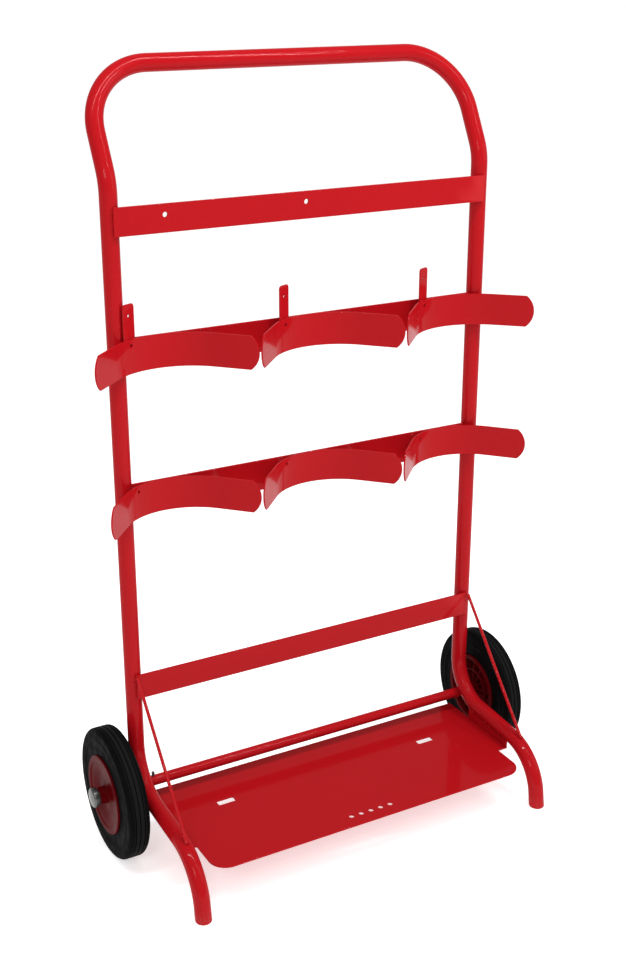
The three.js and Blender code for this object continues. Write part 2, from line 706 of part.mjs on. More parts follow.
const cart = new THREE.Group();
const leftRod = braceRod();
cart.add(
  part('main_frame_tube', mainFrameTube(), 'redEnamel'),
  part('foot_cap_left', footCap(-1), 'redEnamel'),
  part('foot_cap_right', footCap(1), 'redEnamel'),
  part('top_crossbar', crossbar(TOP_CROSSBAR_Z, CROSSBAR_HOLE_X), 'redEnamel'),
  part('lower_crossbar', crossbar(LOWER_CROSSBAR_Z, []), 'redEnamel'),
  cradleParts(),
  part('base_plate', basePlate(), 'redEnamel'),
  part('brace_rod_left', leftRod, 'redEnamel'),
  part('brace_rod_right', mirroredInX(leftRod), 'redEnamel'),
  axleParts(),
  wheelParts('left', -1),
  wheelParts('right', 1),
);

// The cart reaches from the front of its feet to the back of its tyres.
const frontY = footY - TUBE_RADIUS / footDirection.z;
const rearY = AXLE_Y + WHEEL_RADIUS;
cart.position.y = -(frontY + rearY) / 2;

export default cart;
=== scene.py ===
"""Looks of an upright trolley for gas cylinders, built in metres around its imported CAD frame."""

import math

import bmesh
import bpy
from mathutils import Matrix, Vector, geometry, noise


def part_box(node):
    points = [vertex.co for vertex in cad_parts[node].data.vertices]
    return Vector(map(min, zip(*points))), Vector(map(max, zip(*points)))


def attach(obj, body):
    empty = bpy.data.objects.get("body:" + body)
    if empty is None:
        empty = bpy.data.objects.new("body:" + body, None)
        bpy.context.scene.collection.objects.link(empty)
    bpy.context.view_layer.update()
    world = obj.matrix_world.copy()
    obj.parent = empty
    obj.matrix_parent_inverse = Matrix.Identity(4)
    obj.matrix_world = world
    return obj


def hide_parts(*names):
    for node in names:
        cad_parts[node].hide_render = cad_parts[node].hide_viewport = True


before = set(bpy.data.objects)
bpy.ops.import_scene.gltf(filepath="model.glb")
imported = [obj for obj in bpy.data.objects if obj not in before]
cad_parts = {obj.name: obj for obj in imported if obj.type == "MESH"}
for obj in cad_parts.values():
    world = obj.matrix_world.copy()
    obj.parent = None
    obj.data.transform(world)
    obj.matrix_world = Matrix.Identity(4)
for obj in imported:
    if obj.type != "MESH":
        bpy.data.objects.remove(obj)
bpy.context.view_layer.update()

MM = 0.001
X = Vector((1, 0, 0))
Z = Vector((0, 0, 1))

# ---------------------------------------------------------------- sizes, from the frame where it has them

GAP = 0.3 * MM
TUBE_RADIUS = 15.9 * MM
STRAP = 3 * MM
tube_low, tube_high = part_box("main_frame_tube")
bar_low, bar_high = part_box("top_crossbar")
tyre_low, tyre_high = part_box("left_tyre")
HALF_SPACING = tube_high.x - TUBE_RADIUS
UPRIGHT_Y = bar_high.y + GAP + TUBE_RADIUS
WHEEL_X = (tyre_low.x + tyre_high.x) / -2
WHEEL_Y = (tyre_low.y + tyre_high.y) / 2
WHEEL_RADIUS = (tyre_high.z - tyre_low.z) / 2

# Frame tube, bent as a bender makes it.
LEG_BEND_START_Z = 215 * MM
LEG_BEND_RADIUS = 90 * MM
LEG_FORWARD_ANGLE = 85.7
LEG_RUN = 115 * MM
FOOT_BEND_RADIUS = 102 * MM
FOOT_SPLAY_ANGLE = 9.1
FOOT_CAP_TOP = 3 * MM
KINK_Z = 1299 * MM
KINK_RADIUS = 94 * MM
HOOP_LEAN_ANGLE = 27.8
HOOP_LENGTH = 205.6 * MM
HOOP_CORNER_RADIUS = 118 * MM

# Straps and tabs.
CRADLE_PITCH = 304.8 * MM
INNER_WING = {"radius": 123 * MM, "angle": 47, "length": 172 * MM}
OUTER_WING = {
    "upper": {"radius": 135 * MM, "angle": 43, "length": 167 * MM},
    "lower": {"radius": 115 * MM, "angle": 48.5, "length": 164 * MM},
}
CRADLE_END_CROWN = 15.6 * MM
CRADLE_HOLE = {"radius": 3.2 * MM, "along": 56 * MM, "drop": 11 * MM}
CROSSBAR_HOLES = {"radius": 4.5 * MM, "rise": 6 * MM, "xs": (-287 * MM, -11 * MM)}
TAB = {"width": 27 * MM, "thickness": 3 * MM, "corner": 6 * MM, "hole": 2.5 * MM, "hole_drop": 21 * MM}

# Deck.
DECK_THICKNESS = 3 * MM
DECK_STEP = 200 * MM
TONGUE_HALF_WIDTH = 348 * MM
TONGUE_CORNER = 36 * MM
DECK_CORNER = 5 * MM
STRAP_SLOT = {"x": 234 * MM, "back": 91 * MM, "length": 36 * MM, "width": 15 * MM, "corner": 2.5 * MM}
DRAIN_HOLES = {"radius": 5 * MM, "pitch": 22 * MM, "count": 5, "inset": 31 * MM}

# Wheels, as distances from the wheel's middle.
RIM_RADIUS = 78 * MM
HUB_RADIUS = 17 * MM
BUSH_RADIUS = 10 * MM
AXLE_RADIUS = 8 * MM
HUB_INNER_END = -29.7 * MM
HUB_OUTER_END = 35 * MM
RIB_COUNT = 14
WASHER = {"radius": 17 * MM, "thickness": 2.5 * MM, "soft": 0.4 * MM}
CAP_WALL = 1.5 * MM
CAP_CROWN = 1.5 * MM
CAP_EDGE = 4 * MM

# Softened edges of the bars, straps and tabs.
BAR_EDGE = 0.9 * MM
STRAP_EDGE = 0.5 * MM
TAB_EDGE = 0.6 * MM

ROUND = 48
WHEEL_SIDES = 144


# ---------------------------------------------------------------- materials

class Shader:
    """A node material under construction, with one Principled shader."""

    def __init__(self, name, colour, roughness, metallic=0.0, specular=0.5):
        self.material = bpy.data.materials.new(name)
        self.material.use_nodes = True
        self.material.diffuse_color = (*colour, 1)
        tree = self.material.node_tree
        self.nodes, self.links = tree.nodes, tree.links
        self.surface = self.nodes["Principled BSDF"]
        self.set("Base Color", (*colour, 1))
        self.set("Roughness", roughness)
        self.set("Metallic", metallic)
        self.set("Specular IOR Level", specular)
        self.place = self.nodes.new("ShaderNodeTexCoord").outputs["Object"]

    def set(self, socket, value):
        self.surface.inputs[socket].default_value = value

    def noise(self, scale, detail=3.0, stretch=(1, 1, 1)):
        mapping = self.nodes.new("ShaderNodeMapping")
        mapping.inputs["Scale"].default_value = stretch
        self.links.new(self.place, mapping.inputs["Vector"])
        texture = self.nodes.new("ShaderNodeTexNoise")
        texture.inputs["Scale"].default_value = scale
        texture.inputs["Detail"].default_value = detail
        self.links.new(mapping.outputs["Vector"], texture.inputs["Vector"])
        return texture.outputs["Fac"]

    def span(self, value, low, high, to_low, to_high):
        node = self.nodes.new("ShaderNodeMapRange")
        for name, number in (("From Min", low), ("From Max", high), ("To Min", to_low), ("To Max", to_high)):
            node.inputs[name].default_value = number
        self.links.new(value, node.inputs["Value"])
        return node.outputs["Result"]

    def height(self):
        split = self.nodes.new("ShaderNodeSeparateXYZ")
        self.links.new(self.place, split.inputs["Vector"])
        return split.outputs["Z"]

    def edges(self):
        return self.nodes.new("ShaderNodeNewGeometry").outputs["Pointiness"]

    def times(self, a, b):
        node = self.nodes.new("ShaderNodeMath")
        node.operation = "MULTIPLY"
        self.links.new(a, node.inputs[0])
        self.links.new(b, node.inputs[1])
        return node.outputs["Value"]

    def tint(self, factor, colour):
        """Lays another colour over the base colour by a factor from 0 to 1."""
        mix = self.nodes.new("ShaderNodeMix")
        mix.data_type = "RGBA"
        base = self.surface.inputs["Base Color"]
        if base.is_linked:
            self.links.new(base.links[0].from_socket, mix.inputs[6])
        else:
            mix.inputs[6].default_value = base.default_value
        mix.inputs[7].default_value = (*colour, 1)
        self.links.new(factor, mix.inputs[0])
        self.links.new(mix.outputs[2], base)

    def roughness(self, value, low, high, to_low, to_high):
        self.links.new(self.span(value, low, high, to_low, to_high), self.surface.inputs["Roughness"])

    def bump(self, value, distance, strength=1.0):
        node = self.nodes.new("ShaderNodeBump")
        node.inputs["Distance"].default_value = distance
        node.inputs["Strength"].default_value = strength
        normal = self.surface.inputs["Normal"]
        if normal.is_linked:
            self.links.new(normal.links[0].from_socket, node.inputs["Normal"])
        self.links.new(value, node.inputs["Height"])
        self.links.new(node.outputs["Normal"], normal)


def red_enamel():
    """Baked enamel under a thin gloss coat: colour drift, orange peel, lighter edges and scuffs low down."""
    s = Shader("red_enamel", (0.355, 0.0045, 0.0075), 0.3, specular=0.02)
    s.set("Coat Weight", 0.12)
    s.set("Coat Roughness", 0.05)
    s.tint(s.span(s.noise(5), 0.35, 0.65, 0, 0.7), (0.335, 0.0045, 0.0075))
    s.tint(s.span(s.noise(60, 4), 0.6, 0.8, 0, 0.15), (0.42, 0.008, 0.011))
    s.tint(s.span(s.edges(), 0.53, 0.62, 0, 0.35), (0.5, 0.03, 0.032))
    scuffs = s.span(s.noise(240, 5), 0.56, 0.66, 0, 0.5)
    low_down = s.span(s.height(), 0.03, 0.002, 0, 1)
    s.tint(s.times(scuffs, low_down), (0.2, 0.1, 0.09))
    s.roughness(s.noise(35, 4), 0.3, 0.7, 0.15, 0.23)
    s.bump(s.noise(420, 2), 0.00012, 0.22)
    s.bump(s.noise(22, 2), 0.0008, 0.06)
    return s.material


def weld_enamel():
    """The same enamel over a weld bead, a little rougher."""
    s = Shader("weld_enamel", (0.36, 0.005, 0.008), 0.3, specular=0.07)
    s.tint(s.span(s.noise(180, 4), 0.45, 0.65, 0, 0.6), (0.26, 0.002, 0.004))
    s.roughness(s.noise(150, 3), 0.3, 0.7, 0.28, 0.44)
    s.bump(s.noise(700, 3), 0.0003, 0.4)
    return s.material


def wheel_plastic():
    """Moulded dark red wheel centre: satin skin, cloudy colour and painted shade darkening the corners."""
    s = Shader("wheel_plastic", (0.085, 0.001, 0.0025), 0.5, specular=0.015)
    s.tint(s.span(s.noise(14), 0.35, 0.65, 0, 0.6), (0.062, 0.0007, 0.002))
    # painted shade: the hollow corners and recesses of the moulding are darkened where shade falls
    s.tint(s.span(s.edges(), 0.47, 0.4, 0, 0.25), (0.05, 0.006, 0.006))
    s.tint(s.span(s.noise(300, 4), 0.64, 0.75, 0, 0.1), (0.13, 0.012, 0.014))
    s.roughness(s.noise(40, 4), 0.3, 0.7, 0.3, 0.44)
    s.bump(s.noise(900, 2), 0.0001, 0.2)
    s.bump(s.noise(30, 2), 0.0006, 0.08)
    return s.material


def tyre_rubber():
    """Solid black rubber: a matt bloom, lighter edges as painted highlights, and fine grain."""
    s = Shader("tyre_rubber", (0.0025, 0.0025, 0.0027), 0.55, specular=0.015)
    s.tint(s.span(s.noise(30, 4), 0.4, 0.7, 0, 0.5), (0.004, 0.004, 0.0044))
    s.tint(s.span(s.noise(260, 5), 0.6, 0.72, 0, 0.3), (0.008, 0.0078, 0.0073))
    # painted highlight: the convex edges of the tread, grooves and side walls are lightened to stand in for
    # thin highlights
    s.tint(s.span(s.edges(), 0.52, 0.6, 0, 0.6), (0.05, 0.05, 0.052))
    s.roughness(s.noise(50, 4), 0.3, 0.7, 0.5, 0.74)
    s.bump(s.noise(1400, 3), 0.00015, 0.35)
    s.bump(s.noise(90, 3), 0.0004, 0.15)
    return s.material


def zinc_steel():
    """Grey zinc plate: faint turning marks and cloudy patches."""
    s = Shader("zinc_steel", (0.12, 0.124, 0.117), 0.28, metallic=1.0)
    s.tint(s.span(s.noise(120, 4), 0.4, 0.7, 0, 0.5), (0.11, 0.115, 0.108))
    s.tint(s.span(s.noise(700, 3), 0.62, 0.75, 0, 0.35), (0.07, 0.07, 0.07))
    s.roughness(s.noise(160, 4), 0.3, 0.7, 0.22, 0.38)
    s.bump(s.noise(900, 2, stretch=(0.15, 1, 1)), 0.0001, 0.12)
    return s.material


def black_steel():
    """Oiled black oxide with bright worn corners."""
    s = Shader("black_steel", (0.028, 0.027, 0.03), 0.4, metallic=0.7)
    s.tint(s.span(s.noise(900, 3), 0.5, 0.7, 0, 0.5), (0.06, 0.055, 0.055))
    s.tint(s.span(s.edges(), 0.54, 0.64, 0, 0.5), (0.3, 0.3, 0.31))
    s.roughness(s.noise(600, 3), 0.3, 0.7, 0.3, 0.5)
    return s.material


def nylon():
    """Natural nylon, slightly yellowed and greased."""
    s = Shader("nylon", (0.66, 0.63, 0.55), 0.45)
    s.tint(s.span(s.noise(200, 3), 0.4, 0.7, 0, 0.5), (0.5, 0.46, 0.36))
    s.roughness(s.noise(200, 3), 0.3, 0.7, 0.35, 0.55)
    s.bump(s.noise(1200, 2), 0.0001, 0.15)
    return s.material


MATERIALS = {
    "red_enamel": red_enamel(),
    "weld_enamel": weld_enamel(),
    "wheel_plastic": wheel_plastic(),
    "tyre_rubber": tyre_rubber(),
    "zinc_steel": zinc_steel(),
    "black_steel": black_steel(),
    "nylon": nylon(),
}


# ---------------------------------------------------------------- mesh tools

def add_piece(name, bm, finish, body="root", node=None, weighted=False):
    """Makes the finished object, rides it on its body and lets it stand for its CAD node."""
    bmesh.ops.recalc_face_normals(bm, faces=bm.faces)
    mesh = bpy.data.meshes.new(name)
    bm.to_mesh(mesh)
    bm.free()
    mesh.materials.append(MATERIALS[finish])
    mesh.polygons.foreach_set("use_smooth", [True] * len(mesh.polygons))
    mesh.set_sharp_from_angle(angle=math.radians(42))
    piece = bpy.data.objects.new(name, mesh)
    bpy.context.scene.collection.objects.link(piece)
    if weighted:
        piece.modifiers.new("even_normals", "WEIGHTED_NORMAL").keep_sharp = True
    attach(piece, body)
    if node:
        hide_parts(node)
    return piece


def add_rings(bm, rings, loop=False, capped=True):
    """Joins equal rings of points into a skin, closed into a loop or capped at both ends."""
    made = [[bm.verts.new(p) for p in ring] for ring in rings]
    count = len(made[0])
    pairs = list(zip(made, made[1:]))
    if loop:
        pairs.append((made[-1], made[0]))
    for a, b in pairs:
        for i in range(count):
            j = (i + 1) % count
            bm.faces.new((a[i], a[j], b[j], b[i]))
    if capped and not loop:
        bm.faces.new(made[0])
        bm.faces.new(made[-1])
    return made


def add_turned(bm, profile, centre, direction=1, sides=WHEEL_SIDES):
    """A closed section of [along, radius] points turned about X through centre."""
    angles = [2 * math.pi * i / sides for i in range(sides)]
    rings = []
    for along, radius in profile:
        at = centre + X * direction * along
        rings.append([at + Vector((0, radius * math.cos(a), radius * math.sin(a))) for a in angles])
    add_rings(bm, rings, loop=True)


def rounded(points, radius_of, steps=4):
    """A closed outline with its corners rounded. radius_of maps a point's index to its radius."""
    out = []
    count = len(points)
    for i, corner in enumerate(points):
        corner = Vector(corner)
        radius = radius_of.get(i, 0) if isinstance(radius_of, dict) else radius_of
        if not radius:
            out.append(corner)
            continue
        before = (Vector(points[i - 1]) - corner).normalized()
        after = (Vector(points[(i + 1) % count]) - corner).normalized()
        half = before.angle(after) / 2
        reach = radius / math.tan(half)
        centre = corner + (before + after).normalized() * radius / math.sin(half)
        start = corner + before * reach - centre
        turn = start.angle_signed(corner + after * reach - centre)
        for k in range(steps + 1):
            a = -turn * k / steps
            swung = Vector((start.x * math.cos(a) - start.y * math.sin(a),
                            start.x * math.sin(a) + start.y * math.cos(a)))
            out.append(centre + swung)
    return out


def circle(cx, cy, radius, sides=32):
    return [Vector((cx + radius * math.cos(2 * math.pi * i / sides),
                    cy + radius * math.sin(2 * math.pi * i / sides))) for i in range(sides)]


def wound(loop, anticlockwise):
    area = sum(a.x * b.y - b.x * a.y for a, b in zip(loop, loop[1:] + loop[:1]))
    return list(loop) if (area > 0) == anticlockwise else list(reversed(loop))


def inset(loop, distance):
    """The closed loop moved to its left, which is into the material."""
    out = []
    for i, point in enumerate(loop):
        before = (point - loop[i - 1]).normalized()
        after = (loop[(i + 1) % len(loop)] - point).normalized()
        left = Vector((-before.y - after.y, before.x + after.x)).normalized()
        cosine = max(0.3, left.dot(Vector((-after.y, after.x))))
        out.append(point + left * distance / cosine)
    return out


def add_plate(bm, outline, holes, thickness, edge, place, cuts=()):
    """A sheet with softly rounded edges. place maps (u, v, w) to the cart, with w through the sheet.
    cuts are the u values at which the flat sheet is divided before it is bent."""
    flat = bmesh.new()
    loops = [wound(outline, True)] + [wound(hole, False) for hole in holes]
    corner = [math.radians(a) for a in (0, 30, 60, 90)]
    half = thickness / 2
    profile = [(edge * (1 - math.sin(a)), half - edge * (1 - math.cos(a))) for a in corner]
    profile += [(d, -w) for d, w in reversed(profile)]
    tops, bottoms = [], []
    for loop in loops:
        rings = [[Vector((p.x, p.y, w)) for p in inset(loop, d)] for d, w in profile]
        made = add_rings(flat, rings, capped=False)
        tops.append(made[0])
        bottoms.append(made[-1])
    for side in (tops, bottoms):
        every = [v for loop in side for v in loop]
        for triangle in geometry.tessellate_polygon([[v.co for v in loop] for loop in side]):
            flat.faces.new([every[i] for i in triangle])
    for u in cuts:
        parts = flat.verts[:] + flat.edges[:] + flat.faces[:]
        bmesh.ops.bisect_plane(flat, geom=parts, plane_co=(u, 0, 0), plane_no=(1, 0, 0), dist=1e-7)
    for v in flat.verts:
        v.co = place(v.co.x, v.co.y, v.co.z)
    mesh = bpy.data.meshes.new("flat")
    flat.to_mesh(mesh)
    flat.free()
    bm.from_mesh(mesh)
    bpy.data.meshes.remove(mesh)


def add_weld(bm, points, radius, seed, sides=10):
    """A painted weld bead along points: overlapping ripples, slightly uneven, tapered at both ends."""
    ripple = 1.9 * MM
    length = sum((b - a).length for a, b in zip(points, points[1:]))
    steps = max(8, int(length / (ripple / 4)))
    rings = []
    for k in range(steps + 1):
        along = length * k / steps
        at, way = point_along(points, along)
        side = way.orthogonal().normalized()
        up = way.cross(side)
        taper = math.sin(math.pi * min(1, max(0.04, min(along, length - along) / (radius * 1.6)) / 2))
        wave = 1 - 0.16 * abs(math.sin(math.pi * along / ripple))
        drift = 1 + 0.14 * noise.noise(Vector((along * 160, seed * 3.7, 0)))
        r = radius * taper * wave * drift
        turns = [2 * math.pi * i / sides for i in range(sides)]
        rings.append([at + (side * math.cos(a) + up * math.sin(a)) * r for a in turns])
    add_rings(bm, rings)


def point_along(points, distance):
    for a, b in zip(points, points[1:]):
        step = (b - a).length
        if distance <= step or b is points[-1]:
            return a.lerp(b, min(1, distance / step)), (b - a).normalized()
        distance -= step


# ---------------------------------------------------------------- frame tube

class TubePath:
    """A centre-line made of straight feeds and bends, as (point, tangent) stations."""

    def __init__(self, point, tangent):
        self.stations = [(point, tangent.normalized())]

    def feed(self, length, pieces=1):
        point, tangent = self.stations[-1]
        for k in range(1, pieces + 1):
            self.stations.append((point + tangent * length * k / pieces, tangent))

    def bend(self, radius, degrees, axis, step=2.5):
        point, tangent = self.stations[-1]
        to_centre = axis.cross(tangent) * radius * math.copysign(1, degrees)
        centre = point + to_centre
        steps = math.ceil(abs(degrees) / step)
        for k in range(1, steps + 1):
            turn = Matrix.Rotation(math.radians(degrees) * k / steps, 3, axis)
            self.stations.append((centre - turn @ to_centre, turn @ tangent))


def leg_stations():
    """The left leg from the top of its bend down to the floor."""
    path = TubePath(Vector((-HALF_SPACING, UPRIGHT_Y, LEG_BEND_START_Z)), -Z)
    path.bend(LEG_BEND_RADIUS, -LEG_FORWARD_ANGLE, X)
    path.feed(LEG_RUN, 6)
    path.bend(FOOT_BEND_RADIUS, LEG_FORWARD_ANGLE - FOOT_SPLAY_ANGLE, X)
    point, tangent = path.stations[-1]
    path.feed(point.z / -tangent.z)
    return path.stations


LEG = leg_stations()
FOOT_POINT, FOOT_WAY = LEG[-1]


def frame_stations():
    """The whole tube, from the left foot over the hoop to the right foot."""
    path = TubePath(FOOT_POINT, -FOOT_WAY)
    path.stations = [(p, -t) for p, t in reversed(LEG)]
    kink_reach = KINK_RADIUS * math.tan(math.radians(HOOP_LEAN_ANGLE / 2))
    path.feed(KINK_Z - kink_reach - LEG_BEND_START_Z, 24)
    path.bend(KINK_RADIUS, -HOOP_LEAN_ANGLE, X)
    path.feed(HOOP_LENGTH - kink_reach - HOOP_CORNER_RADIUS, 2)
    path.bend(HOOP_CORNER_RADIUS, 90, path.stations[-1][1].cross(X))
    path.feed(-path.stations[-1][0].x, 8)
    half = path.stations
    return half + [(mirrored(p), -mirrored(t)) for p, t in reversed(half[:-1])]


def mirrored(v):
    return Vector((-v.x, v.y, v.z))


def ring_round(point, tangent, side, radius, sides=ROUND):
    up = tangent.cross(side)
    return [point + (side * math.cos(a) + up * math.sin(a)) * radius
            for a in (2 * math.pi * i / sides for i in range(sides))]


def cut_level(ring, tangent, height):
    """The ring slid along the tube until it lies level at a height."""
    return [p + tangent * (height - p.z) / tangent.z for p in ring]


def swept(stations, radius, sides=ROUND):
    """Rings along a centre-line, turned as little as possible from one to the next."""
    side = X.copy()
    rings = []
    last = stations[0][1]
    for point, tangent in stations:
        side = last.rotation_difference(tangent) @ side
        side = (side - tangent * side.dot(tangent)).normalized()
        rings.append(ring_round(point, tangent, side, radius, sides))
        last = tangent
    return rings


def build_frame_tube():
    stations = frame_stations()
    rings = swept(stations, TUBE_RADIUS)
    top = FOOT_CAP_TOP + GAP
    rings[0] = cut_level(rings[0], stations[0][1], top)
    rings[-1] = cut_level(rings[-1], stations[-1][1], top)
    bm = bmesh.new()
    add_rings(bm, rings)
    add_piece("frame_tube", bm, "red_enamel", node="main_frame_tube")


def build_foot_caps():
    """A sole under each foot, rounded where it meets the floor."""
    for label, flip in (("left", False), ("right", True)):
        point = mirrored(FOOT_POINT) if flip else FOOT_POINT
        bm = bmesh.new()
        rings = []
        soft = 2.4 * MM
        for degrees in (0, 22.5, 45, 67.5, 90):
            a = math.radians(degrees)
            radius = TUBE_RADIUS - soft * (1 - math.sin(a))
            ring = ring_round(point, FOOT_WAY, X, radius)
            rings.append(cut_level(ring, FOOT_WAY, soft * (1 - math.cos(a))))
        rings.append(cut_level(ring_round(point, FOOT_WAY, X, TUBE_RADIUS), FOOT_WAY, FOOT_CAP_TOP + GAP))
        add_rings(bm, rings)
        add_piece(f"foot_sole_{label}", bm, "red_enamel", node=f"foot_cap_{label}")


# ---------------------------------------------------------------- flat bars, cradles and tabs

def box_outline(low_u, high_u, low_v, high_v, corner):
    return rounded([(low_u, low_v), (high_u, low_v), (high_u, high_v), (low_u, high_v)], corner)


def build_flat_bar(node, holes=()):
    """A flat bar that lies across the trolley, in the place of its CAD node."""
    low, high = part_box(node)
    middle_y = (low.y + high.y) / 2
    bm = bmesh.new()
    outline = box_outline(low.x, high.x, low.z, high.z, 1 * MM)
    spacing = 40 * MM
    cuts = [low.x + spacing * k for k in range(1, int((high.x - low.x) / spacing) + 1)]
    thickness = high.y - low.y
    add_plate(bm, outline, holes, thickness, BAR_EDGE, lambda u, v, w: Vector((u, middle_y - w, v)), cuts)
    add_piece(node.replace("_bar", "_flat_bar").replace("crossbar", "cross_bar"), bm, "red_enamel",
              node=node, weighted=True)


def build_bars():
    low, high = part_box("top_crossbar")
    hole_z = (low.z + high.z) / 2 + CROSSBAR_HOLES["rise"]
    holes = [circle(x, hole_z, CROSSBAR_HOLES["radius"]) for x in CROSSBAR_HOLES["xs"]]
    build_flat_bar("top_crossbar", holes)
    build_flat_bar("lower_crossbar")
    build_flat_bar("upper_cradle_bar")
    build_flat_bar("lower_cradle_bar")


CRADLE_FRONT_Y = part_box("upper_cradle_bar")[0].y - GAP - STRAP
PLACES = {"left": -1, "centre": 0, "right": 1}


def wings_of(row, place):
    left = OUTER_WING[row] if place == "left" else INNER_WING
    right = OUTER_WING[row] if place == "right" else INNER_WING
    return left, right


def strap_outline(half_height, left, right):
    """The strap laid flat, with its convex ends."""
    crown = CRADLE_END_CROWN
    radius = (half_height ** 2 + crown ** 2) / (2 * crown)
    reach = math.asin(half_height / radius)
    steps = 18
    outline = []
    for side, wing in ((1, right), (-1, left)):
        centre = wing["length"] + crown - radius
        for k in range(steps + 1):
            a = -reach + 2 * reach * k / steps
            outline.append(Vector((side * (centre + radius * math.cos(a)), side * radius * math.sin(a))))
    return outline


def on_wings(centre_x, centre_z, left, right):
    """Where a point of the flat strap lies once the strap is bent. w counts from the strap's middle."""
    def place(u, v, w):
        side, wing = (-1, left) if u < 0 else (1, right)
        radius = wing["radius"]
        turned = min(abs(u) / radius, math.radians(wing["angle"]))
        straight = abs(u) - turned * radius
        r = radius + STRAP / 2 + w
        x = r * math.sin(turned) + straight * math.cos(turned)
        y = r * math.cos(turned) - radius - straight * math.sin(turned)
        return Vector((centre_x + side * x, CRADLE_FRONT_Y + y, centre_z + v))
    return place


def build_cradle(row, place):
    node = f"{row}_cradle_{place}"
    low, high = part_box(node)
    centre_z, half_height = (low.z + high.z) / 2, (high.z - low.z) / 2
    left, right = wings_of(row, place)
    hole = circle(-CRADLE_HOLE["along"], half_height - CRADLE_HOLE["drop"], CRADLE_HOLE["radius"], 24)
    cuts = [0]
    for side, wing in ((-1, left), (1, right)):
        bend = wing["radius"] * math.radians(wing["angle"])
        cuts += [side * bend * k / 20 for k in range(1, 21)]
    bm = bmesh.new()
    place_strap = on_wings(PLACES[place] * CRADLE_PITCH, centre_z, left, right)
    outline = strap_outline(half_height, left, right)
    add_plate(bm, outline, [hole], STRAP, STRAP_EDGE, place_strap, sorted(cuts))
    add_piece(f"{row}_strap_{place}", bm, "red_enamel", node=node, weighted=True)


def build_tab(place):
    """A flat upright tab for a cylinder chain, behind the left wing of an upper cradle."""
    node = f"chain_tab_{place}"
    low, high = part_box(node)
    radius = wings_of("upper", place)[0]["radius"]
    angle = CRADLE_HOLE["along"] / radius
    stand_off = radius + STRAP + GAP + TAB["thickness"] / 2
    half = TAB["width"] / 2
    outline = rounded([(-half, low.z), (half, low.z), (half, high.z), (-half, high.z)],
                      {2: TAB["corner"], 3: TAB["corner"]}, 8)
    hole = circle(0, high.z - TAB["hole_drop"], TAB["hole"], 20)

    def stand(u, v, w):
        turned = Matrix.Rotation(angle, 3, "Z") @ Vector((u, stand_off + w, 0))
        return turned + Vector((PLACES[place] * CRADLE_PITCH, CRADLE_FRONT_Y - radius, v))

    bm = bmesh.new()
    add_plate(bm, outline, [hole], TAB["thickness"], TAB_EDGE, stand)
    add_piece(f"tab_{place}", bm, "red_enamel", node=node, weighted=True)


# ---------------------------------------------------------------- deck

deck_low, deck_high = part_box("base_plate")
DECK_TOP = deck_low.z + DECK_THICKNESS


def leg_height(y):
    """Height of the leg's centre-line above a y on its forward run."""
    for (a, _), (b, _) in zip(LEG, LEG[1:]):
        if b.y <= y <= a.y:
            return a.z + (b.z - a.z) * (a.y - y) / (a.y - b.y)


def build_deck():
    half, rear, front = deck_high.x, deck_high.y, deck_low.y
    step = UPRIGHT_Y - DECK_STEP
    tongue = TONGUE_HALF_WIDTH
    corners = [(half, step), (half, rear), (-half, rear), (-half, step),
               (-tongue, step), (-tongue, front), (tongue, front), (tongue, step)]
    small, large = DECK_CORNER, TONGUE_CORNER
    radii = {0: 2 * MM, 1: small, 2: small, 3: 2 * MM, 4: 2 * MM, 5: large, 6: large, 7: 2 * MM}
    outline = rounded(corners, radii, 10)
    slot_y = UPRIGHT_Y - STRAP_SLOT["back"]
    dx, dy = STRAP_SLOT["length"] / 2, STRAP_SLOT["width"] / 2
    holes = [box_outline(s * STRAP_SLOT["x"] - dx, s * STRAP_SLOT["x"] + dx, slot_y - dy, slot_y + dy,
                         STRAP_SLOT["corner"]) for s in (-1, 1)]
    middle = (DRAIN_HOLES["count"] - 1) / 2
    drain_y = front + DRAIN_HOLES["inset"]
    holes += [circle((i - middle) * DRAIN_HOLES["pitch"], drain_y, DRAIN_HOLES["radius"], 28)
              for i in range(DRAIN_HOLES["count"])]
    bm = bmesh.new()
    sheet_z = DECK_TOP - DECK_THICKNESS / 2
    add_plate(bm, outline, holes, DECK_THICKNESS, 0.7 * MM, lambda u, v, w: Vector((u, v, sheet_z + w)))
    for side in (-1, 1):
        add_flange(bm, side, step)
    add_piece("deck", bm, "red_enamel", node="base_plate", weighted=True)


def add_flange(bm, side, step):
    """The upturned edge of the deck, which follows the underside of the leg."""
    inset_x = deck_high.x - 0.5 * MM - DECK_THICKNESS / 2
    drop = math.sqrt(TUBE_RADIUS ** 2 - (HALF_SPACING - inset_x) ** 2) + 1.2 * MM
    rear_y = UPRIGHT_Y - 62 * MM
    count = 10
    top = []
    for k in range(count + 1):
        y = rear_y + (step + 0.5 * MM - rear_y) * k / count
        top.append(Vector((y, min(deck_high.z, leg_height(y) - drop))))
    foot = DECK_TOP - DECK_THICKNESS * 0.6
    outline = [Vector((top[-1].x, foot)), Vector((rear_y, foot))] + top
    add_plate(bm, outline, [], DECK_THICKNESS, 0.6 * MM, lambda u, v, w: Vector((side * inset_x + w, u, v)))


# ---------------------------------------------------------------- rods, axle and wheels

def build_brace_rods():
    for label, side in (("left", -1), ("right", 1)):
        node = f"brace_rod_{label}"
        low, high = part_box(node)
        radius = (high.x - low.x) / 2
        top = Vector((side * HALF_SPACING, high.y - radius, high.z - radius))
        foot = Vector((side * HALF_SPACING, low.y + radius, low.z + radius))
        way = (foot - top).normalized()
        stations = [(top.lerp(foot, k / 12), way) for k in range(13)]
        rings = swept(stations, radius, 24)
        blunt = ring_round(top - way * radius * 0.25, way, X, radius * 0.72, 24)
        bm = bmesh.new()
        add_rings(bm, [blunt, *rings])
        add_piece(f"rod_{label}", bm, "red_enamel", node=node)


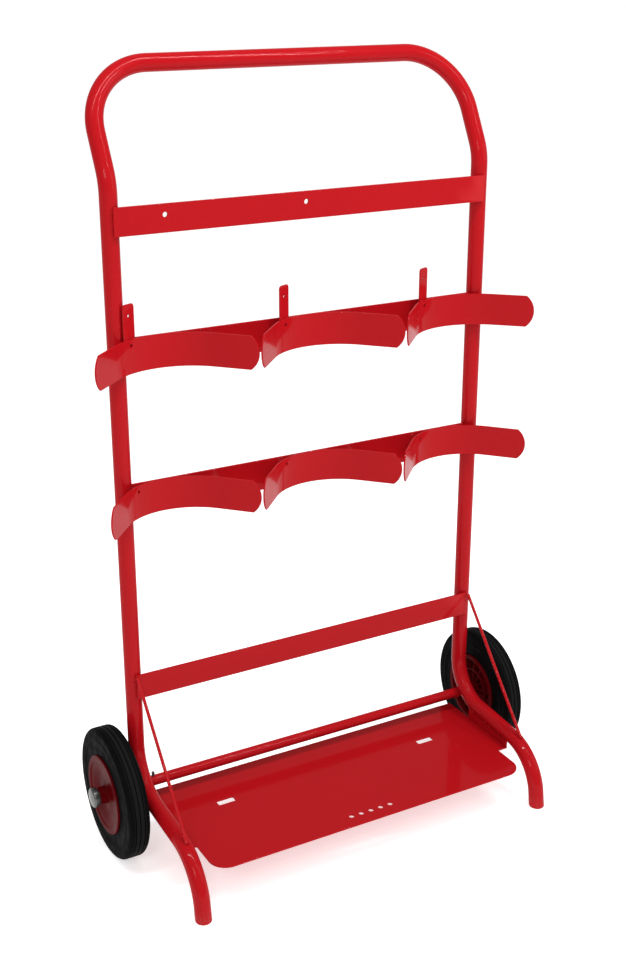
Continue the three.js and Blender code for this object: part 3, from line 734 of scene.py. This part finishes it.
def build_axle():
    centre = Vector((0, WHEEL_Y, WHEEL_RADIUS))
    low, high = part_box("axle_tube")
    reach, radius = high.x, (high.z - low.z) / 2
    bore = AXLE_RADIUS + 0.4 * MM
    soft = 0.6 * MM
    bm = bmesh.new()
    profile = [(-reach, bore), (-reach, radius - soft), (-reach + soft, radius)]
    profile += [(-reach + 40 * MM * k, radius) for k in range(1, 20)]
    profile += [(reach - soft, radius), (reach, radius - soft), (reach, bore)]
    add_turned(bm, profile, centre, sides=ROUND)
    add_piece("axle_sleeve", bm, "red_enamel", node="axle_tube")

    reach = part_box("axle")[1].x
    chamfer = 1.5 * MM
    angles = [2 * math.pi * i / ROUND for i in range(ROUND)]
    rings = []
    for x, r in ((-reach, AXLE_RADIUS - chamfer), (-reach + chamfer, AXLE_RADIUS),
                 (reach - chamfer, AXLE_RADIUS), (reach, AXLE_RADIUS - chamfer)):
        rings.append([centre + Vector((x, r * math.cos(a), r * math.sin(a))) for a in angles])
    bm = bmesh.new()
    add_rings(bm, rings)
    add_piece("axle_rod", bm, "zinc_steel", node="axle")


def build_lock_screw():
    """A headless screw with a hexagon socket in its top."""
    low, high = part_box("axle_lock_screw")
    centre = Vector(((low.x + high.x) / 2, (low.y + high.y) / 2, 0))
    radius = (high.x - low.x) / 2
    soft = 0.5 * MM
    hexagon = 1.5 * MM
    sides = 24

    def ring(z, r, hexed=False):
        out = []
        for i in range(sides):
            a = 2 * math.pi * i / sides
            flat = math.cos(math.pi / 6) / math.cos((a % (math.pi / 3)) - math.pi / 6) if hexed else 1
            out.append(centre + Vector((r * flat * math.cos(a), r * flat * math.sin(a), z)))
        return out

    bm = bmesh.new()
    add_rings(bm, [
        ring(low.z, radius - soft), ring(low.z + soft, radius), ring(high.z - soft, radius),
        ring(high.z, radius - soft), ring(high.z, hexagon, True), ring(high.z - 3 * MM, hexagon, True),
    ])
    add_piece("lock_screw", bm, "black_steel", node="axle_lock_screw")


def build_wheels():
    for label, side in (("left", -1), ("right", 1)):
        centre = Vector((side * WHEEL_X, WHEEL_Y, WHEEL_RADIUS))
        build_tyre(label, side, centre)
        build_wheel_centre(label, side, centre)
        build_hub(label, side, centre)


def build_tyre(label, side, centre):
    """Solid tyre: a gently crowned tread with grooves, round shoulders, ribbed side walls and a bead."""
    half, top = 21.5 * MM, WHEEL_RADIUS
    shoulder = 9 * MM
    bead = 72.3 * MM
    tread = []
    grooves = (-9 * MM, 0, 9 * MM)
    lip, depth = 1.1 * MM, 2.2 * MM
    for x in grooves:
        tread += [(x - lip - 1 * MM, top), (x - lip, top - 0.25 * MM), (x - lip * 0.55, top - depth),
                  (x + lip * 0.55, top - depth), (x + lip, top - 0.25 * MM), (x + lip + 1 * MM, top)]
    arc = []
    for k in range(9):
        a = math.radians(90 * k / 8)
        arc.append((half - shoulder + shoulder * math.sin(a), top - shoulder + shoulder * math.cos(a)))
    wall = [(half, 113 * MM), (half - 0.5 * MM, 108 * MM), (half + 0.1 * MM, 106.5 * MM),
            (half + 0.1 * MM, 105 * MM), (half - 0.6 * MM, 103.5 * MM), (half - 1 * MM, 92 * MM),
            (half - 0.4 * MM, 84 * MM), (half - 0.4 * MM, 79.5 * MM), (half - 2 * MM, 78.5 * MM),
            (half - 2 * MM, bead)]
    right = arc + wall
    left = [(-x, r) for x, r in reversed(right)]
    bm = bmesh.new()
    add_turned(bm, left + tread + right, centre, side)
    add_piece(f"{label}_tyre_skin", bm, "tyre_rubber", body=f"{label}_wheel", node=f"{label}_tyre")


def build_wheel_centre(label, side, centre):
    """Moulded centre: a smooth dish outside, ribs and a ring inside, rim lips and the hub barrel."""
    outer = 25.5 * MM
    seat, lip = 72 * MM, 21.7 * MM
    bore = BUSH_RADIUS + GAP
    soft = 1 * MM
    web = 3 * MM
    dish_start, dish_radius = 23.5 * MM, 65 * MM
    dish_depth, dish_width = 6 * MM, 36 * MM
    steps = 12
    dish = []
    for k in range(steps + 1):
        t = k / steps
        ease = t * t * (3 - 2 * t)
        dish.append((dish_start - dish_depth * ease, dish_radius - dish_width * t))
    back = [(x - web, r) for x, r in reversed(dish)]
    profile = [
        (-outer, 69 * MM), (-outer, RIM_RADIUS - soft), (-outer + soft, RIM_RADIUS), (-lip, RIM_RADIUS),
        (-lip, seat), (lip, seat), (lip, RIM_RADIUS), (outer - soft, RIM_RADIUS), (outer, RIM_RADIUS - soft),
        (outer, 69 * MM), (outer - 0.6 * MM, 67 * MM), *dish, (17.5 * MM, 21 * MM), (18.4 * MM, 18 * MM),
        (20 * MM, HUB_RADIUS), (HUB_OUTER_END - soft, HUB_RADIUS), (HUB_OUTER_END, HUB_RADIUS - soft),
        (HUB_OUTER_END, bore), (HUB_INNER_END, bore), (HUB_INNER_END, HUB_RADIUS - soft),
        (HUB_INNER_END + soft, HUB_RADIUS), (13 * MM, HUB_RADIUS), (14.5 * MM, 20 * MM), *back,
        (19 * MM, 67 * MM), (-outer + 3 * MM, 67 * MM),
    ]
    bm = bmesh.new()
    add_turned(bm, profile, centre, side)
    ring_low, ring_high = 42 * MM, 45.5 * MM
    ring_edge, ring_shoulder, ring_root = -20.5 * MM, -19.8 * MM, 15 * MM
    bevel = 0.7 * MM
    ring = [(ring_edge, ring_low + bevel), (ring_edge, ring_high - bevel), (ring_shoulder, ring_high),
            (ring_root, ring_high), (ring_root, ring_low), (ring_shoulder, ring_low)]
    add_turned(bm, ring, centre, side)
    for i in range(RIB_COUNT):
        add_rib(bm, centre, side, 2 * math.pi * i / RIB_COUNT)
    add_piece(f"{label}_wheel_moulding", bm, "wheel_plastic", body=f"{label}_wheel",
              node=f"{label}_wheel_centre")


def add_rib(bm, centre, side, angle):
    """A radial rib from the hub to the rim, rounded along its free edge and drafted towards it."""
    edge_x, root_x = -19.5 * MM, 17 * MM
    section = [(root_x, -1.8 * MM), (edge_x + 0.8 * MM, -1.3 * MM), (edge_x + 0.2 * MM, -0.9 * MM),
               (edge_x, -0.3 * MM), (edge_x, 0.3 * MM), (edge_x + 0.2 * MM, 0.9 * MM),
               (edge_x + 0.8 * MM, 1.3 * MM), (root_x, 1.8 * MM)]
    turn = Matrix.Rotation(angle, 3, "X")
    rings = []
    for radius in (HUB_RADIUS - 1 * MM, 30 * MM, 52 * MM, 68 * MM):
        rings.append([centre + turn @ Vector((side * x, t, radius)) for x, t in section])
    add_rings(bm, rings)


def build_hub(label, side, centre):
    """Bush, washers and the domed cap pushed on the axle's end."""
    bore = AXLE_RADIUS + GAP
    bm = bmesh.new()
    add_turned(bm, [(HUB_INNER_END, bore), (HUB_INNER_END, BUSH_RADIUS), (HUB_OUTER_END, BUSH_RADIUS),
                    (HUB_OUTER_END, bore)], centre, side, ROUND)
    add_piece(f"{label}_bush", bm, "nylon", body=f"{label}_wheel", node=f"{label}_hub_bush")

    thickness, radius, soft = WASHER["thickness"], WASHER["radius"], WASHER["soft"]
    for kind, start in (("inner", HUB_INNER_END - GAP - thickness), ("outer", HUB_OUTER_END + GAP)):
        end = start + thickness
        bm = bmesh.new()
        add_turned(bm, [(start, bore), (start, radius - soft), (start + soft, radius), (end - soft, radius),
                        (end, radius - soft), (end, bore)], centre, side, ROUND)
        add_piece(f"{label}_{kind}_flat_washer", bm, "zinc_steel", node=f"{label}_{kind}_washer")

    start = HUB_OUTER_END + thickness + 2 * GAP
    low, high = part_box(f"{label}_axle_cap")
    reach, deep = (high.z - low.z) / 2, high.x - low.x
    shoulder = deep - CAP_CROWN
    flat = reach - CAP_EDGE
    axis_hole = 0.3 * MM
    lip = 0.4 * MM
    steps = 6
    outside = [(0, reach - lip), (lip, reach)]
    for k in range(steps + 1):
        a = math.radians(90 * k / steps)
        outside.append((shoulder - CAP_EDGE * (1 - math.sin(a)), reach - CAP_EDGE * (1 - math.cos(a))))
    for k in range(1, steps):
        t = k / steps
        outside.append((deep - CAP_CROWN * (1 - t) ** 2, flat * (1 - t)))
    outside.append((deep, axis_hole))
    inside = [(deep - CAP_WALL, axis_hole), (shoulder - CAP_WALL, flat),
              (shoulder - CAP_EDGE, reach - CAP_WALL), (0, reach - CAP_WALL)]
    bm = bmesh.new()
    add_turned(bm, [(start + x, r) for x, r in outside + inside], centre, side, 72)
    add_piece(f"{label}_hub_cap", bm, "zinc_steel", node=f"{label}_axle_cap")


# ---------------------------------------------------------------- welds

def both_sides(points):
    return [points, [mirrored(p) for p in points]]


def build_welds():
    """Beads where the bars, straps, tabs, rods, axle tube and deck are welded."""
    groups = {"crossbar": [], "cradle": [], "tab": [], "rod": [], "axle": [], "deck": []}
    inset_end = 4 * MM
    for node in ("top_crossbar", "lower_crossbar"):
        low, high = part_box(node)
        x, y = low.x - 0.6 * MM, high.y + 0.4 * MM
        line = [Vector((x, y, low.z + inset_end)), Vector((x, y, high.z - inset_end))]
        groups["crossbar"] += [(p, 2.2 * MM) for p in both_sides(line)]
    for node in ("upper_cradle_bar", "lower_cradle_bar"):
        low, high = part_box(node)
        for y in (low.y, high.y):
            line = [Vector((low.x, y, low.z + inset_end)), Vector((low.x, y, high.z - inset_end))]
            groups["cradle"] += [(p, 2.2 * MM) for p in both_sides(line)]
    for row in ("upper", "lower"):
        for place, index in PLACES.items():
            low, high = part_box(f"{row}_cradle_{place}")
            y = CRADLE_FRONT_Y + STRAP
            for start in (-44 * MM, 16 * MM):
                x = index * CRADLE_PITCH + start
                z = low.z + 0.6 * MM
                groups["cradle"].append(([Vector((x, y, z)), Vector((x + 28 * MM, y, z))], 1.7 * MM))
    for place, index in PLACES.items():
        radius = wings_of("upper", place)[0]["radius"]
        angle = CRADLE_HOLE["along"] / radius
        origin = Vector((index * CRADLE_PITCH, CRADLE_FRONT_Y - radius, 0))
        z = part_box(f"upper_cradle_{place}")[1].z
        turn = Matrix.Rotation(angle, 3, "Z")
        y = radius + STRAP
        line = [origin + turn @ Vector((u, y, z)) for u in (-10 * MM, 10 * MM)]
        groups["tab"].append((line, 1.5 * MM))
    for label, side in (("left", -1), ("right", 1)):
        low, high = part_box(f"brace_rod_{label}")
        radius = (high.x - low.x) / 2
        top = Vector((side * HALF_SPACING, high.y - radius, high.z - radius))
        foot = Vector((side * HALF_SPACING, low.y + radius, low.z + radius))
        way = (foot - top).normalized()
        at = foot - way * 1.5 * MM
        circle_points = [at + (X * math.cos(a) + way.cross(X) * math.sin(a)) * (radius + 0.4 * MM)
                         for a in (2 * math.pi * k / 24 for k in range(25))]
        groups["rod"].append((circle_points, 1.7 * MM))
        bar_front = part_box("lower_crossbar")[0].y
        for s in (-1, 1):
            edge = [Vector((top.x + s * radius * 0.9, bar_front, top.z - d)) for d in (2 * MM, 16 * MM)]
            groups["rod"].append((edge, 1.6 * MM))
    axle_z, axle_r = WHEEL_RADIUS, 10.5 * MM
    for y in (-1, 1):
        line = []
        for k in range(9):
            a = math.radians(35 + 110 * k / 8)
            line.append(Vector((-HALF_SPACING + TUBE_RADIUS * 0.72 * y, WHEEL_Y - axle_r * math.sin(a),
                                axle_z - axle_r * math.cos(a))))
        groups["axle"] += [(p, 1.9 * MM) for p in both_sides(line)]
    inner_x = deck_high.x - DECK_THICKNESS - 0.6 * MM
    for start in (-75 * MM, -120 * MM, -168 * MM):
        ys = [UPRIGHT_Y + start - 22 * MM * k / 4 for k in range(5)]
        drop = math.sqrt(TUBE_RADIUS ** 2 - (HALF_SPACING - inner_x) ** 2)
        heights = [min(deck_high.z - 0.6 * MM, leg_height(y) - drop - 0.8 * MM) for y in ys]
        line = [Vector((-inner_x, y, z)) for y, z in zip(ys, heights)]
        groups["deck"] += [(p, 1.8 * MM) for p in both_sides(line)]
    for name, lines in groups.items():
        bm = bmesh.new()
        for seed, (points, radius) in enumerate(lines):
            add_weld(bm, points, radius, seed)
        add_piece(f"{name}_welds", bm, "weld_enamel")


# ---------------------------------------------------------------- stage, light and camera

def build_floor():
    """A wide pale floor, bright enough to read as a plain white ground."""
    reach, pieces = 80, 8
    lines = [reach * (2 * k / pieces - 1) for k in range(pieces + 1)]
    bm = bmesh.new()
    rows = [[bm.verts.new((x, y, 0)) for x in lines] for y in lines]
    for a, b in zip(rows, rows[1:]):
        for i in range(pieces):
            bm.faces.new((a[i], a[i + 1], b[i + 1], b[i]))
    mesh = bpy.data.meshes.new("floor")
    bm.to_mesh(mesh)
    bm.free()
    s = Shader("floor_paint", (0.86, 0.86, 0.86), 0.85, specular=0.1)
    s.tint(s.span(s.noise(3), 0.3, 0.7, 0, 0.3), (0.84, 0.84, 0.845))
    s.set("Emission Color", (1, 1, 1, 1))
    s.set("Emission Strength", 0.55)
    mesh.materials.append(s.material)
    floor = bpy.data.objects.new("floor", mesh)
    bpy.context.scene.collection.objects.link(floor)


def add_light(name, place, aim, size, power, shape_y=None):
    light = bpy.data.lights.new(name, "AREA")
    light.energy = power
    light.size = size
    if shape_y:
        light.shape = "RECTANGLE"
        light.size_y = shape_y
    lamp = bpy.data.objects.new(name, light)
    lamp.location = place
    lamp.rotation_euler = (Vector(aim) - Vector(place)).to_track_quat("-Z", "Y").to_euler()
    bpy.context.scene.collection.objects.link(lamp)


def build_light():
    world = bpy.data.worlds.new("studio")
    world.use_nodes = True
    background = world.node_tree.nodes["Background"]
    background.inputs["Color"].default_value = (1, 1, 1, 1)
    background.inputs["Strength"].default_value = 0.55
    bpy.context.scene.world = world
    add_light("key_softbox", (-2.6, -3.4, 3.6), (0, 0, 0.7), 1.2, 55)
    add_light("fill_softbox", (3.4, -2.4, 2.2), (0, 0, 0.7), 2.0, 25)
    add_light("ceiling_tube", (-0.2, -1.0, 3.8), (0, 0.1, 0.9), 4.0, 65, 0.08)
    add_light("side_tube", (1.2, -1.6, 3.8), (-0.1, 0.2, 1.4), 0.08, 50, 2.5)
    bpy.context.scene.view_settings.view_transform = "Standard"


def build_camera():
    """Stands where the trolley is seen from its front left, a little from above."""
    azimuth, elevation = math.radians(-29.20), math.radians(20.86)
    back = Vector((math.sin(azimuth) * math.cos(elevation), -math.cos(azimuth) * math.cos(elevation),
                   math.sin(elevation)))
    target = Vector((0.01375, 0.0960, 0.67952))
    camera = bpy.data.objects.new("camera", bpy.data.cameras.new("camera"))
    camera.data.sensor_width = 36
    camera.data.lens = 51.84
    camera.location = target + back * 2.74752
    camera.rotation_mode = "QUATERNION"
    camera.rotation_quaternion = (-back).to_track_quat("-Z", "Y")
    bpy.context.scene.collection.objects.link(camera)
    bpy.context.scene.camera = camera


build_camera()
build_light()
build_floor()
build_frame_tube()
build_foot_caps()
build_bars()
for row_name in ("upper", "lower"):
    for place_name in PLACES:
        build_cradle(row_name, place_name)
for place_name in PLACES:
    build_tab(place_name)
build_deck()
build_brace_rods()
build_axle()
build_lock_screw()
build_wheels()
build_welds()
